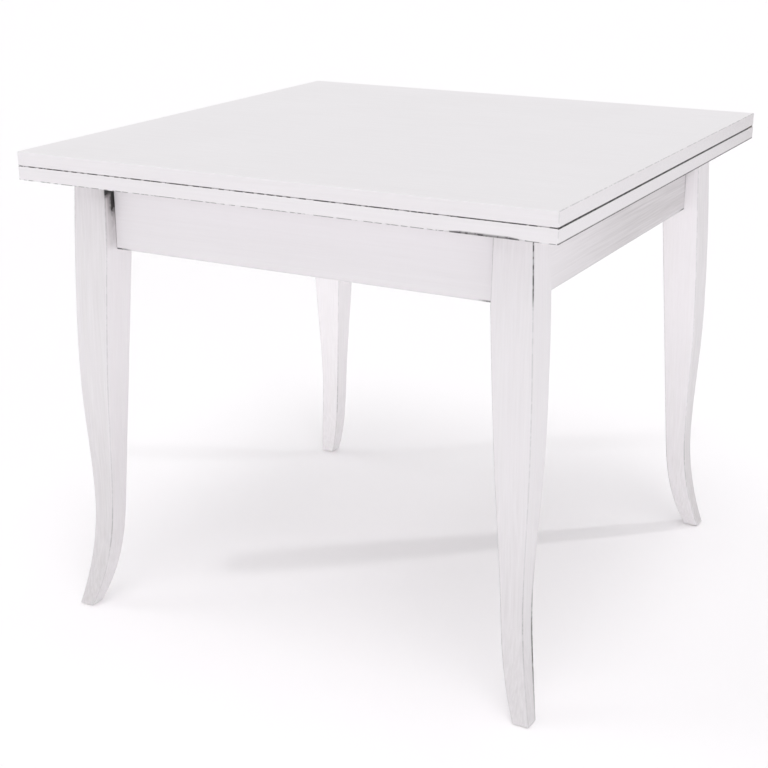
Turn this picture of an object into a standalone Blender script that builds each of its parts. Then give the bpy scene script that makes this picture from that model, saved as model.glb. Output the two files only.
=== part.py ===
"""Flip-top extending table: a square top of two hinged leaves on a frame with four sabre legs.

The lower leaf slides half its depth towards the front on two runners. The upper leaf then folds over the
back edge on a piano hinge, so that the opened top is twice as deep and still centred on its frame.
+X runs along the front, +Y towards the hinged back edge, and the floor is at zero.
"""
import math

import bmesh
import bpy

# Top
TOP_WIDTH = 0.900
TOP_DEPTH = 0.900
TABLE_HEIGHT = 0.785
LEAF_THICK = 0.022
LEAF_GAP = 0.0005
LEAF_EASE = 0.0012

# Fits shared by the whole table
SEAT_GAP = 0.0003
RUN_GAP = 0.0005

# Frame
TOP_OVERHANG = 0.059
APRON_HEIGHT = 0.110
APRON_THICK = 0.020
APRON_SETBACK = 0.020
APRON_EASE = 0.0012

# Sabre leg: a post that bows out to a knee, a slim ankle and a toe that kicks out along the diagonal
LEG_POST = 0.060
LEG_EASE = 0.002
KNEE_DROP = 0.307
KNEE_SWING = 0.009
ANKLE_HEIGHT = 0.190
ANKLE_SWING = 0.002
ANKLE_WIDTH = 0.0375
TOE_SWING = 0.028
TOE_WIDTH = 0.027
TOE_CURVE = 1.9
HEEL_CURVE = 2.7
POST_STEPS = 5
LEG_STEPS = 26

# Foot glide
FOOT_GLIDE_RADIUS = 0.0105
FOOT_GLIDE_THICK = 0.002
FOOT_GLIDE_EASE = 0.0006

# Corner fixing: a bent steel bracket, a hanger bolt in the leg and a flanged nut
LEG_FLAT_DEPTH = 0.009
BRACKET_STANDOFF = 0.012
BRACKET_SHEET = 0.002
BRACKET_WING = 0.028
BRACKET_RISE = 0.010
BRACKET_DROP = 0.0185
KERF_DEPTH = 0.006
BOLT_RADIUS = 0.004
BOLT_BITE = 0.030
BOLT_TAIL = 0.016
NUT_WALL = 0.0025
NUT_HEIGHT = 0.0065
NUT_FLANGE_LIP = 0.0025
NUT_FLANGE_THICK = 0.0015

# What the top slides on
GLIDE_THICK = 0.003
STRIP_WIDTH = 0.014
PAD_RADIUS = 0.008
PAD_SPACING = 0.300
RAIL_WIDTH = 0.024
RAIL_HEIGHT = 0.036
RAIL_DROP = 0.004
GROOVE_DEPTH = 0.012
GROOVE_HEIGHT = 0.010
GROOVE_RISE = 0.012
RUNNER_WIDTH = 0.022
RUNNER_RISE = 0.004
BUFFER_SIZE = 0.016
BUFFER_THICK = 0.004
BUFFER_EASE = 0.0008

# Piano hinge
HINGE_WING = 0.030
HINGE_SHEET = 0.0012
HINGE_PIN_RADIUS = 0.0015
HINGE_EDGE = 0.0005
HINGE_MARGIN = 0.002
KNUCKLE_COUNT = 29
CURL_SLIT = 0.0003

# How finely round forms are cut, and what counts as one point or as one smooth surface
ROUND_SIDES = 24
CURL_STEPS = 14
SAME_POINT = 1e-6
SMOOTH_DEGREES = 30

# Levels and reaches that follow from the sizes above
HALF_WIDTH = TOP_WIDTH / 2
HALF_DEPTH = TOP_DEPTH / 2
UPPER_FACE = TABLE_HEIGHT - LEAF_THICK
LOWER_FACE = UPPER_FACE - LEAF_GAP
LEAF_UNDERSIDE = LOWER_FACE - LEAF_THICK
APRON_TOP = LEAF_UNDERSIDE - 2 * SEAT_GAP - GLIDE_THICK
APRON_BOTTOM = APRON_TOP - APRON_HEIGHT
POST_X = HALF_WIDTH - TOP_OVERHANG
POST_Y = HALF_DEPTH - TOP_OVERHANG
APRON_INNER = APRON_SETBACK + APRON_THICK
KNEE_HEIGHT = APRON_TOP - KNEE_DROP
LEG_FOOT = FOOT_GLIDE_THICK + SEAT_GAP
LEG_FLAT = math.sqrt(2) * LEG_POST - LEG_FLAT_DEPTH
RAIL_LOW = LEAF_UNDERSIDE - RAIL_DROP - RAIL_HEIGHT
RAIL_FACE = POST_X - APRON_INNER - SEAT_GAP - RAIL_WIDTH
RAIL_HALF = POST_Y - max(LEG_POST, APRON_INNER) - SEAT_GAP
RUNNER_FACE = RAIL_FACE - RUN_GAP
BRACKET_LOW = APRON_BOTTOM + BRACKET_RISE
BRACKET_HIGH = RAIL_LOW - BRACKET_DROP
BRACKET_MIDDLE = (BRACKET_LOW + BRACKET_HIGH) / 2
BRACKET_WEB = LEG_FLAT + BRACKET_STANDOFF
BRACKET_WALL = APRON_INNER + SEAT_GAP + BRACKET_SHEET / 2
BRACKET_BEND = math.sqrt(2) * (BRACKET_WEB + BRACKET_SHEET / 2) - BRACKET_WALL
BRACKET_END = BRACKET_BEND + BRACKET_WING
TRAVEL = HALF_DEPTH
AXIS_Y = HALF_DEPTH + HINGE_EDGE
AXIS_Z = LOWER_FACE + LEAF_GAP / 2
CURL_BORE = HINGE_PIN_RADIUS + SEAT_GAP
CURL_RADIUS = CURL_BORE + HINGE_SHEET
HINGE_HALF = HALF_WIDTH - HINGE_MARGIN
KNUCKLE_LENGTH = 2 * HINGE_HALF / KNUCKLE_COUNT
CORNER_TURNS = {"back_right": 0, "back_left": 1, "front_left": 2, "front_right": 3}


def clear_scene():
    """Start from nothing."""
    for old in list(bpy.data.objects):
        bpy.data.objects.remove(old, do_unlink=True)


def finish(name, colour, roughness, metallic=0.0):
    """A Principled material for one finish of the table."""
    material = bpy.data.materials.new(name)
    material.use_nodes = True
    shader = material.node_tree.nodes["Principled BSDF"]
    shader.inputs["Base Color"].default_value = (*colour, 1.0)
    shader.inputs["Roughness"].default_value = roughness
    shader.inputs["Metallic"].default_value = metallic
    return material


def anchor(name, location=(0, 0, 0), turn=0.0, parent=None):
    """An empty that carries a group of pieces."""
    empty = bpy.data.objects.new(name, None)
    empty.location = location
    empty.rotation_euler = (0, 0, turn)
    empty.parent = parent
    bpy.context.collection.objects.link(empty)
    return empty


def mesh_from(bm, name, round_form=False):
    """Close a bmesh into a mesh with outward faces; a round form is shaded smooth between its creases."""
    bmesh.ops.recalc_face_normals(bm, faces=bm.faces)
    mesh = bpy.data.meshes.new(name)
    bm.to_mesh(mesh)
    bm.free()
    if round_form:
        mesh.shade_smooth()
        mesh.set_sharp_from_angle(angle=math.radians(SMOOTH_DEGREES))
    return mesh


def piece(name, mesh, material, parent, location=(0, 0, 0), turn=0.0):
    """One named sub-part, placed in its parent's frame."""
    obj = bpy.data.objects.new(name, mesh)
    if not mesh.materials:
        mesh.materials.append(material)
    obj.parent = parent
    obj.location = location
    obj.rotation_euler = (0, 0, turn)
    bpy.context.collection.objects.link(obj)
    return obj


def combine(obj, name, mesh, operation="DIFFERENCE"):
    """Cut a hidden tool's shape out of a piece, or add it, in the piece's own frame."""
    tool = bpy.data.objects.new(name, mesh)
    tool.parent = obj.parent
    tool.location = obj.location
    tool.rotation_euler = obj.rotation_euler
    tool.hide_render = True
    tool.display_type = "WIRE"
    bpy.context.collection.objects.link(tool)
    boolean = obj.modifiers.new(name, "BOOLEAN")
    boolean.operation = operation
    boolean.solver = "EXACT"
    boolean.object = tool


def prism(bm, outline, axis, low, high):
    """Extrude a closed outline along one axis; the outline's pairs are the other two axes in order."""
    def corner(pair, along):
        values = list(pair)
        values.insert("xyz".index(axis), along)
        return values

    verts = [bm.verts.new(corner(pair, low)) for pair in outline]
    face = bm.faces.new(verts)
    pushed = bmesh.ops.extrude_face_region(bm, geom=[face])["geom"]
    moved = [item for item in pushed if isinstance(item, bmesh.types.BMVert)]
    shift = [0.0, 0.0, 0.0]
    shift["xyz".index(axis)] = high - low
    bmesh.ops.translate(bm, verts=moved, vec=shift)


def prism_mesh(name, outline, axis, low, high, round_form=False):
    """A single extruded outline as a mesh."""
    bm = bmesh.new()
    prism(bm, outline, axis, low, high)
    return mesh_from(bm, name, round_form)


def rectangle(low_u, high_u, low_v, high_v):
    """Outline of an upright rectangle."""
    return [(low_u, low_v), (high_u, low_v), (high_u, high_v), (low_u, high_v)]


def arc(radius, start, end, steps):
    """Points on a circle about zero, from one angle to another, in degrees."""
    angles = [math.radians(start + (end - start) * i / steps) for i in range(steps + 1)]
    return [(radius * math.cos(a), radius * math.sin(a)) for a in angles]


def turned(name, profile):
    """Spin a (radius, height) profile about Z, closed on the axis at both ends."""
    bm = bmesh.new()
    verts = [bm.verts.new((radius, 0, height)) for radius, height in profile]
    edges = [bm.edges.new(pair) for pair in zip(verts, verts[1:])]
    bmesh.ops.spin(bm, geom=verts + edges, cent=(0, 0, 0), axis=(0, 0, 1), angle=math.tau,
                   steps=ROUND_SIDES, use_merge=True, use_duplicate=False)
    bmesh.ops.remove_doubles(bm, verts=bm.verts, dist=SAME_POINT)
    return mesh_from(bm, name, round_form=True)


def rod(name, radius, low, high):
    """A plain round rod along Z."""
    return turned(name, [(0, low), (radius, low), (radius, high), (0, high)])


def eased_board(name, width, depth, low, high, ease):
    """A board with every arris rounded."""
    bm = bmesh.new()
    prism(bm, rectangle(-width / 2, width / 2, -depth / 2, depth / 2), "z", low, high)
    bmesh.ops.recalc_face_normals(bm, faces=bm.faces)
    bmesh.ops.bevel(bm, geom=bm.edges[:], offset=ease, segments=2, profile=0.5, affect="EDGES")
    return mesh_from(bm, name, round_form=True)


def ribbon(path, thick):
    """Outline of a sheet bent along a path, with mitred corners."""
    def normal(a, b):
        length = math.hypot(b[0] - a[0], b[1] - a[1])
        return (-(b[1] - a[1]) / length, (b[0] - a[0]) / length)

    normals = [normal(a, b) for a, b in zip(path, path[1:])]
    before = [normals[0]] + normals
    after = normals + [normals[-1]]
    sides = ([], [])
    for point, n0, n1 in zip(path, before, after):
        mitre = (thick / 2) / (1 + n0[0] * n1[0] + n0[1] * n1[1])
        offset = ((n0[0] + n1[0]) * mitre, (n0[1] + n1[1]) * mitre)
        sides[0].append((point[0] + offset[0], point[1] + offset[1]))
        sides[1].append((point[0] - offset[0], point[1] - offset[1]))
    return sides[0] + sides[1][::-1]


def leg_outer(height):
    """How far the outer faces stand out from the top of the post at a height."""
    if height >= KNEE_HEIGHT:
        along = (APRON_TOP - height) / KNEE_DROP
        return KNEE_SWING * math.sin(math.pi / 2 * along)
    if height >= ANKLE_HEIGHT:
        along = (KNEE_HEIGHT - height) / (KNEE_HEIGHT - ANKLE_HEIGHT)
        return ANKLE_SWING + (KNEE_SWING - ANKLE_SWING) * (1 + math.cos(math.pi * along)) / 2
    along = (ANKLE_HEIGHT - height) / (ANKLE_HEIGHT - LEG_FOOT)
    return ANKLE_SWING + (TOE_SWING - ANKLE_SWING) * along ** TOE_CURVE


def leg_inner(height):
    """Where the inner faces lie at a height: a straight taper to the ankle, then the heel's curve."""
    if height >= APRON_BOTTOM:
        return -LEG_POST
    slope = (ANKLE_SWING - ANKLE_WIDTH + LEG_POST) / (APRON_BOTTOM - ANKLE_HEIGHT)
    taper = -LEG_POST + slope * (APRON_BOTTOM - height)
    if height >= ANKLE_HEIGHT:
        return taper
    along = (ANKLE_HEIGHT - height) / (ANKLE_HEIGHT - LEG_FOOT)
    straight_end = -LEG_POST + slope * (APRON_BOTTOM - LEG_FOOT)
    return taper + (TOE_SWING - TOE_WIDTH - straight_end) * along ** HEEL_CURVE


def leg_mesh():
    """Sabre leg sawn to the same curve on both faces, its outer top corner at zero on plan."""
    bm = bmesh.new()
    heights = [APRON_TOP - APRON_HEIGHT * i / POST_STEPS for i in range(POST_STEPS)]
    heights += [APRON_BOTTOM + (LEG_FOOT - APRON_BOTTOM) * i / LEG_STEPS for i in range(LEG_STEPS + 1)]
    rings = []
    for height in heights:
        low, high = leg_inner(height), leg_outer(height)
        near, far = low + LEG_EASE, high - LEG_EASE
        ring = []
        for quarter, (cx, cy) in enumerate([(far, far), (near, far), (near, near), (far, near)]):
            for u, v in arc(LEG_EASE, 90 * quarter, 90 * quarter + 90, 2):
                ring.append(bm.verts.new((cx + u, cy + v, height)))
        rings.append(ring)
    for upper, lower in zip(rings, rings[1:]):
        for i in range(len(upper)):
            j = (i + 1) % len(upper)
            bm.faces.new((upper[i], upper[j], lower[j], lower[i]))
    bm.faces.new(rings[0])
    bm.faces.new(rings[-1][::-1])
    return mesh_from(bm, "sabre_leg", round_form=True)


def on_diagonal(mesh, along):
    """Lay a Z-axis shape along the leg's inward diagonal, its zero at a distance from the corner."""
    half = math.sqrt(0.5)
    for vert in mesh.vertices:
        x, y, z = vert.co
        reach = along + z
        vert.co = (-half * reach + half * x, -half * reach - half * x, BRACKET_MIDDLE + y)
    return mesh


def leg_flat_tool():
    """The corner sawn off inside the post, where the bolt goes in."""
    side = LEG_POST
    edge = math.sqrt(2) * LEG_FLAT
    outline = [(-edge + side, -side), (-side, -edge + side), (-2 * side, -edge + side),
               (-2 * side, -2 * side), (-edge + side, -2 * side)]
    return prism_mesh("leg_flat_tool", outline, "z", APRON_BOTTOM, APRON_TOP + side)


def bracket_mesh():
    """Bent steel corner bracket: flanges in the apron kerfs, screwed wings and a diagonal web."""
    wall, bend, end = -BRACKET_WALL, -BRACKET_BEND, -BRACKET_END
    tip = -APRON_INNER + KERF_DEPTH
    path = [(tip, end), (wall, end), (wall, bend), (bend, wall), (end, wall), (end, tip)]
    return prism_mesh("corner_bracket", ribbon(path, BRACKET_SHEET), "z", BRACKET_LOW, BRACKET_HIGH)


def nut_mesh():
    """The hexagon of a nut, before its flange and its hole."""
    corner_radius = 2 * (BOLT_RADIUS + NUT_WALL) / math.sqrt(3)
    corners = arc(corner_radius, 0, 360, 6)[:-1]
    return prism_mesh("nut_hexagon", corners, "z", NUT_FLANGE_THICK / 2, NUT_HEIGHT)


def apron_mesh(name, span):
    """Apron board along X, outer face at zero and inner face towards +Y, with a kerf near each end."""
    half = span / 2 - LEG_POST - SEAT_GAP
    kerf = span / 2 - BRACKET_END
    slot = BRACKET_SHEET / 2 + SEAT_GAP
    floor = APRON_THICK - KERF_DEPTH - SEAT_GAP
    outline = [(-half, 0), (half, 0), (half, APRON_THICK)]
    for middle in (kerf, -kerf):
        outline += [(middle + slot, APRON_THICK), (middle + slot, floor)]
        outline += [(middle - slot, floor), (middle - slot, APRON_THICK)]
    outline.append((-half, APRON_THICK))
    bm = bmesh.new()
    prism(bm, outline, "z", APRON_BOTTOM, APRON_TOP)
    long_arrises = [e for e in bm.edges if all(abs(v.co.y) < SAME_POINT for v in e.verts)
                    and abs(e.verts[0].co.x - e.verts[1].co.x) > half]
    bmesh.ops.recalc_face_normals(bm, faces=bm.faces)
    bmesh.ops.bevel(bm, geom=long_arrises, offset=APRON_EASE, segments=2, profile=0.5, affect="EDGES")
    return mesh_from(bm, name, round_form=True)


def hinge_profile(side):
    """Section of a hinge leaf about the pin: a flat wing whose end is curled round, side -1 below."""
    face = LEAF_GAP / 2
    back = face + HINGE_SHEET
    slit = CURL_SLIT - face
    start = 180 + math.degrees(math.asin(back / CURL_RADIUS))
    end = 540 - math.degrees(math.asin(slit / CURL_RADIUS))
    inner_start = 540 - math.degrees(math.asin(slit / CURL_BORE))
    inner_end = 180 + math.degrees(math.asin(face / CURL_BORE))
    outline = [(-HINGE_WING, -face), (-HINGE_WING, -back)]
    outline += arc(CURL_RADIUS, start, end, CURL_STEPS)
    outline += arc(CURL_BORE, inner_start, inner_end, CURL_STEPS)
    return [(AXIS_Y + u, AXIS_Z - side * v) for u, v in outline]


def knuckle_tool(first):
    """Blocks that clear a hinge leaf round every second knuckle, from the given one."""
    reach = CURL_RADIUS + SEAT_GAP
    bm = bmesh.new()
    outline = rectangle(AXIS_Y - reach, AXIS_Y + 2 * reach, AXIS_Z - 2 * reach, AXIS_Z + 2 * reach)
    for index in range(first, KNUCKLE_COUNT, 2):
        start = -HINGE_HALF + KNUCKLE_LENGTH * index
        prism(bm, outline, "x", start - SEAT_GAP / 2, start + KNUCKLE_LENGTH + SEAT_GAP / 2)
    return mesh_from(bm, "knuckle_tool")


def rebate_tool(side):
    """Rebate for a hinge wing and the cove that clears the knuckles, along the back of a leaf."""
    floor = LEAF_GAP / 2 + HINGE_SHEET + SEAT_GAP
    cove = CURL_RADIUS + SEAT_GAP
    edge = HINGE_WING + SEAT_GAP
    start = 180 + math.degrees(math.asin(floor / cove))
    outline = [(-edge, cove), (-edge, -floor)]
    outline += arc(cove, start, 360, CURL_STEPS)
    outline.append((cove, cove))
    placed = [(AXIS_Y + u, AXIS_Z - side * v) for u, v in outline]
    return prism_mesh("rebate_tool", placed, "x", -TOP_WIDTH, TOP_WIDTH)


def build_corner(name, turn, wood, steel, nylon):
    """A leg with what holds it and what it stands on, turned to one corner of the table."""
    sign_x = -1 if "left" in name else 1
    sign_y = -1 if "front" in name else 1
    corner = anchor("corner_" + name, (sign_x * POST_X, sign_y * POST_Y, 0), turn * math.pi / 2)
    hole_radius = BOLT_RADIUS + SEAT_GAP

    leg = piece("leg_" + name, leg_mesh(), wood, corner)
    combine(leg, "leg_flat_" + name, leg_flat_tool())
    bore = rod("leg_bore", hole_radius, -BOLT_BITE - SEAT_GAP, LEG_POST)
    combine(leg, "leg_bore_" + name, on_diagonal(bore, LEG_FLAT))

    bracket = piece("corner_bracket_" + name, bracket_mesh(), steel, corner)
    hole = rod("bracket_hole", hole_radius, -BRACKET_STANDOFF / 2, BRACKET_STANDOFF)
    combine(bracket, "bracket_hole_" + name, on_diagonal(hole, BRACKET_WEB))

    seat = BRACKET_WEB + BRACKET_SHEET + SEAT_GAP
    bolt = rod("hanger_bolt", BOLT_RADIUS, -BOLT_BITE, seat + BOLT_TAIL - LEG_FLAT)
    piece("hanger_bolt_" + name, on_diagonal(bolt, LEG_FLAT), steel, corner)

    nut = piece("leg_nut_" + name, on_diagonal(nut_mesh(), seat), steel, corner)
    flange = rod("nut_flange", BOLT_RADIUS + NUT_WALL + NUT_FLANGE_LIP, 0, NUT_FLANGE_THICK)
    combine(nut, "nut_flange_" + name, on_diagonal(flange, seat), "UNION")
    thread = rod("nut_hole", hole_radius, -NUT_HEIGHT, 2 * NUT_HEIGHT)
    combine(nut, "nut_hole_" + name, on_diagonal(thread, seat))

    middle = TOE_SWING - TOE_WIDTH / 2
    radius, ease = FOOT_GLIDE_RADIUS, FOOT_GLIDE_EASE
    profile = [(0, 0), (radius - ease, 0), (radius, ease), (radius, FOOT_GLIDE_THICK), (0, FOOT_GLIDE_THICK)]
    piece("foot_glide_" + name, turned("foot_glide", profile), nylon, corner, (middle, middle, 0))


def build_aprons(wood, nylon, rubber):
    """Four aprons between the legs, and the glides and buffers fixed to them."""
    frame = anchor("frame")
    across = apron_mesh("apron_across", 2 * POST_X)
    along = apron_mesh("apron_along", 2 * POST_Y)
    face_x = POST_X - APRON_SETBACK
    face_y = POST_Y - APRON_SETBACK
    quarter = math.pi / 2
    piece("apron_front", across, wood, frame, (0, -face_y, 0))
    piece("apron_back", across, wood, frame, (0, face_y, 0), 2 * quarter)
    piece("apron_right", along, wood, frame, (face_x, 0, 0), quarter)
    piece("apron_left", along, wood, frame, (-face_x, 0, 0), -quarter)

    glide_low = APRON_TOP + SEAT_GAP
    glide_high = glide_low + GLIDE_THICK
    middle_x = face_x - APRON_THICK / 2
    strip_end = POST_Y - LEG_POST - SEAT_GAP - STRIP_WIDTH / 2
    ends = arc(STRIP_WIDTH / 2, 0, 180, CURL_STEPS)
    outline = [(u, strip_end + v) for u, v in ends] + [(-u, -strip_end - v) for u, v in ends]
    strip = prism_mesh("glide_strip", outline, "z", glide_low, glide_high, round_form=True)
    for name, side in (("left", -1), ("right", 1)):
        piece("glide_strip_" + name, strip, nylon, frame, (side * middle_x, 0, 0))

    middle_y = face_y - APRON_THICK / 2
    pad = rod("glide_pad", PAD_RADIUS, glide_low, glide_high)
    buffer_y = POST_Y - APRON_INNER - SEAT_GAP - BUFFER_THICK / 2
    buffer_x = RUNNER_FACE - RUNNER_WIDTH / 2
    buffer_low = RAIL_LOW + (RAIL_HEIGHT - BUFFER_SIZE) / 2
    block = eased_board("stop_buffer", BUFFER_SIZE, BUFFER_THICK, buffer_low, buffer_low + BUFFER_SIZE,
                        BUFFER_EASE)
    for end, sign_y in (("front", -1), ("back", 1)):
        for name, side in (("left", -1), ("right", 1)):
            pad_place = (side * PAD_SPACING / 2, sign_y * middle_y, 0)
            piece(f"glide_pad_{end}_{name}", pad, nylon, frame, pad_place)
            piece(f"stop_buffer_{end}_{name}", block, rubber, frame, (side * buffer_x, sign_y * buffer_y, 0))
    return frame


def build_rails(frame, beech):
    """A grooved guide rail screwed inside each side apron, between the legs."""
    inner, outer = RAIL_FACE, RAIL_FACE + RAIL_WIDTH
    high = RAIL_LOW + RAIL_HEIGHT
    groove_low = RAIL_LOW + GROOVE_RISE
    groove_high = groove_low + GROOVE_HEIGHT
    floor = inner + GROOVE_DEPTH
    section = [(inner, RAIL_LOW), (outer, RAIL_LOW), (outer, high), (inner, high), (inner, groove_high),
               (floor, groove_high), (floor, groove_low), (inner, groove_low)]
    for name, side in (("left", -1), ("right", 1)):
        outline = [(side * u, v) for u, v in section]
        rail = prism_mesh("guide_rail", outline, "y", -RAIL_HALF, RAIL_HALF)
        piece("guide_rail_" + name, rail, beech, frame)


def build_runners(slide, beech):
    """Runners screwed under the back half of the lower leaf, each with a tongue in its rail's groove."""
    low = RAIL_LOW + RUNNER_RISE - LEAF_UNDERSIDE
    inner = RUNNER_FACE - RUNNER_WIDTH
    back = POST_Y - APRON_INNER - SEAT_GAP - BUFFER_THICK - RUN_GAP
    tongue_low = RAIL_LOW + GROOVE_RISE + RUN_GAP - LEAF_UNDERSIDE
    tongue_high = tongue_low + GROOVE_HEIGHT - 2 * RUN_GAP
    tongue_root = inner + RUNNER_WIDTH / 2
    tongue_tip = RAIL_FACE + GROOVE_DEPTH - RUN_GAP
    tongue_back = RAIL_HALF - RUN_GAP
    for name, side in (("left", -1), ("right", 1)):
        body = sorted((side * inner, side * RUNNER_FACE))
        runner_mesh = prism_mesh("runner", rectangle(*body, low, -SEAT_GAP), "y", TRAVEL - back, back)
        runner = piece("runner_" + name, runner_mesh, beech, slide)
        tongue = sorted((side * tongue_root, side * tongue_tip))
        tongue_outline = rectangle(*tongue, tongue_low, tongue_high)
        tongue_mesh = prism_mesh("runner_tongue", tongue_outline, "y", TRAVEL - tongue_back, tongue_back)
        combine(runner, "runner_tongue_" + name, tongue_mesh, "UNION")


def build_leaf(name, low, side, parent, wood):
    """One leaf of the top, with the hinge's rebate along its back edge."""
    board = eased_board(name, TOP_WIDTH, TOP_DEPTH, low, low + LEAF_THICK, LEAF_EASE)
    leaf = piece(name, board, wood, parent)
    combine(leaf, name + "_rebate", rebate_tool(side))
    return leaf


def build_hinge_leaf(name, side, others_first, parent, brass):
    """A piano hinge leaf, cut away where the other leaf's knuckles go."""
    mesh = prism_mesh(name, hinge_profile(side), "x", -HINGE_HALF, HINGE_HALF, round_form=True)
    leaf = piece(name, mesh, brass, parent)
    combine(leaf, name + "_gaps", knuckle_tool(others_first))
    return leaf


def seat_in(parent_place, *objects):
    """Give pieces modelled about the table's origin their place in a moved parent's frame."""
    for obj in objects:
        obj.location = [-value for value in parent_place]
        for modifier in obj.modifiers:
            modifier.object.location = obj.location


def build_top(wood, brass, steel, beech):
    """The sliding lower leaf and the upper leaf that folds over on the hinge."""
    slide_place = (0, 0, LEAF_UNDERSIDE)
    slide = anchor("top_slide", slide_place)
    lower = build_leaf("lower_leaf_board", LEAF_UNDERSIDE, -1, slide, wood)
    lower_hinge = build_hinge_leaf("hinge_leaf_lower", -1, 1, slide, brass)
    pin_circle = arc(HINGE_PIN_RADIUS, 0, 360, CURL_STEPS)[:-1]
    pin_outline = [(AXIS_Y + u, AXIS_Z + v) for u, v in pin_circle]
    pin_mesh = prism_mesh("hinge_pin", pin_outline, "x", -HINGE_HALF, HINGE_HALF, round_form=True)
    pin = piece("hinge_pin", pin_mesh, steel, slide)
    seat_in(slide_place, lower, lower_hinge, pin)
    build_runners(slide, beech)

    flip_place = (0, AXIS_Y, AXIS_Z)
    flip = anchor("leaf_flip", (0, AXIS_Y, AXIS_Z - LEAF_UNDERSIDE), parent=slide)
    upper = build_leaf("upper_leaf_board", UPPER_FACE, 1, flip, wood)
    upper_hinge = build_hinge_leaf("hinge_leaf_upper", 1, 0, flip, brass)
    seat_in(flip_place, upper, upper_hinge)


def build_table():
    """Put the whole table together, closed."""
    clear_scene()
    lacquer = finish("white_lacquer", (0.80, 0.79, 0.81), 0.45)
    beech = finish("beech", (0.62, 0.45, 0.29), 0.55)
    steel = finish("zinc_plated_steel", (0.62, 0.63, 0.64), 0.35, 1.0)
    brass = finish("brassed_steel", (0.72, 0.56, 0.27), 0.32, 1.0)
    nylon = finish("nylon", (0.78, 0.78, 0.76), 0.5)
    rubber = finish("rubber", (0.05, 0.05, 0.05), 0.8)
    for name, turn in CORNER_TURNS.items():
        build_corner(name, turn, lacquer, steel, nylon)
    frame = build_aprons(lacquer, nylon, rubber)
    build_rails(frame, beech)
    build_top(lacquer, brass, steel, beech)


build_table()
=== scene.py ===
"""The finished look of a flip-top extending table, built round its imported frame."""

import bpy
import numpy as np
from mathutils import Matrix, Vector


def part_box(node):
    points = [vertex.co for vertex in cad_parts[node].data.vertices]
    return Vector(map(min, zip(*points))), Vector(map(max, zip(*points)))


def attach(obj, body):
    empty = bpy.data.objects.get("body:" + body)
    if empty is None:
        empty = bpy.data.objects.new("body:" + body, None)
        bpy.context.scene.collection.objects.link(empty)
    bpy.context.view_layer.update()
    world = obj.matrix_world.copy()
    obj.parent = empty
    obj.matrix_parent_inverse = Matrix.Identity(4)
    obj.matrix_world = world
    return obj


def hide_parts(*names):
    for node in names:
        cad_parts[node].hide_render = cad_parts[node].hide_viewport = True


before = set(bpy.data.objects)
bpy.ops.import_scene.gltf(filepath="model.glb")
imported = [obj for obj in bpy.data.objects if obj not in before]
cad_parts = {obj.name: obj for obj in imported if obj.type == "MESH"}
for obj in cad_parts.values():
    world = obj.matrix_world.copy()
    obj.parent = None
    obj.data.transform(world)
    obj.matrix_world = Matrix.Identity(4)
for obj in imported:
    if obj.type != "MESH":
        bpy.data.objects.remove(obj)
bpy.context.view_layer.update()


# Sabre legs: solid wood bandsawn to one curve on two faces, arrises eased by hand, sprayed white over open
# pores. A grey glaze was wiped off the flats and stayed along the arrises and in the joints, more on one leg
# than on another. Painted shade, partly with patina, darkens the reveal beside the apron under the top, and
# painted shade darkens each leg close under the top, from the knee to the foot, and on some outer faces.
# Inside the post a flat is sawn across the corner, where the hanger bolt pulls the leg in.
CORNERS = {"back_right": (1, 1, 0), "back_left": (-1, 1, 1),
           "front_left": (-1, -1, 2), "front_right": (1, -1, 3)}
POST_REACH = 0.391
POST_WIDTH = 0.060
POST_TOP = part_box("leg_back_right")[1].z
LEG_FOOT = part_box("leg_back_right")[0].z
APRON_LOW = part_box("apron_front")[0].z
KNEE = POST_TOP - 0.307
KNEE_SWING = 0.009
ANKLE = 0.190
ANKLE_SWING = 0.002
ANKLE_WIDTH = 0.0375
TOE_SWING = 0.028
TOE_WIDTH = 0.027
LEG_ARRIS = 0.0022
LEG_END_EASE = 0.0012
LEG_FLAT = np.sqrt(2) * POST_WIDTH - 0.009
TOE_CURVE, HEEL_CURVE = 1.9, 2.7
SHIN_ROWS, POST_ROWS = 110, 48
ARRIS_POINTS = 6
END_ROWS = 5
END_RIM = 1.2
SHARP_FROM = np.radians(34)
FACE_SHARES = np.array([0.015, 0.05, 0.1916, 0.23, 0.27, 0.35, 0.5, 0.65, 0.73, 0.77, 0.8084, 0.95, 0.985])
ARRIS_GLAZE = np.array([0, 0.45, 1, 1, 0.45, 0])
APRON_SETBACK = 0.020
UNWIPED = 0.024
# Per leg: the ankle's broad glaze line, painted shade on the first and on the last outer face, and the share of
# the reveal's patina, wash and painted shade.
LEG_GLAZE_AND_SHADE = {"front_right": (1.1, 0.0, 0.03, 0.4), "front_left": (0.0, 0.085, 0.0, 1.7),
               "back_right": (0.0, 0.0, 0.13, 0.2), "back_left": (0.0, 0.0, 0.0, 0.4)}
ARRIS_LINE, ARRIS_LINE_LOSS, ARRIS_LINE_AT_ANKLE = 0.28, 0.10, 0.25
LOSS_FROM, LOSS_OVER = 0.12, 0.30
ANKLE_GLAZE, ANKLE_GLAZE_REACH = 0.15, 0.06
FULL_LINE, FULL_LINE_END, FULL_LINE_FADE = 0.85, 0.085, 0.03
LAP, LAP_REACH = 0.11, 0.08
# The reveal beside the apron: patina and painted shade, solid under the top and in a strip along the apron.
REVEAL_EDGE, REVEAL_FADE = 0.001, 0.012
STRIP_WIDTH, STRIP_FADE = 0.0085, 0.004
STRIP_SOLID, STRIP_TRACE, STRIP_TRACE_REACH = 0.023, 0.40, 0.045
BAND_HIGH = 0.0225
NOOK_EDGE = 0.006
REVEAL_WASH_AND_SHADE, REVEAL_WASH_AND_SHADE_REACH = 0.21, 0.14
# Painted shade close under the top.
TOP_PAINTED_SHADE, TOP_PAINTED_SHADE_REACH = 0.05, 0.012
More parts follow.
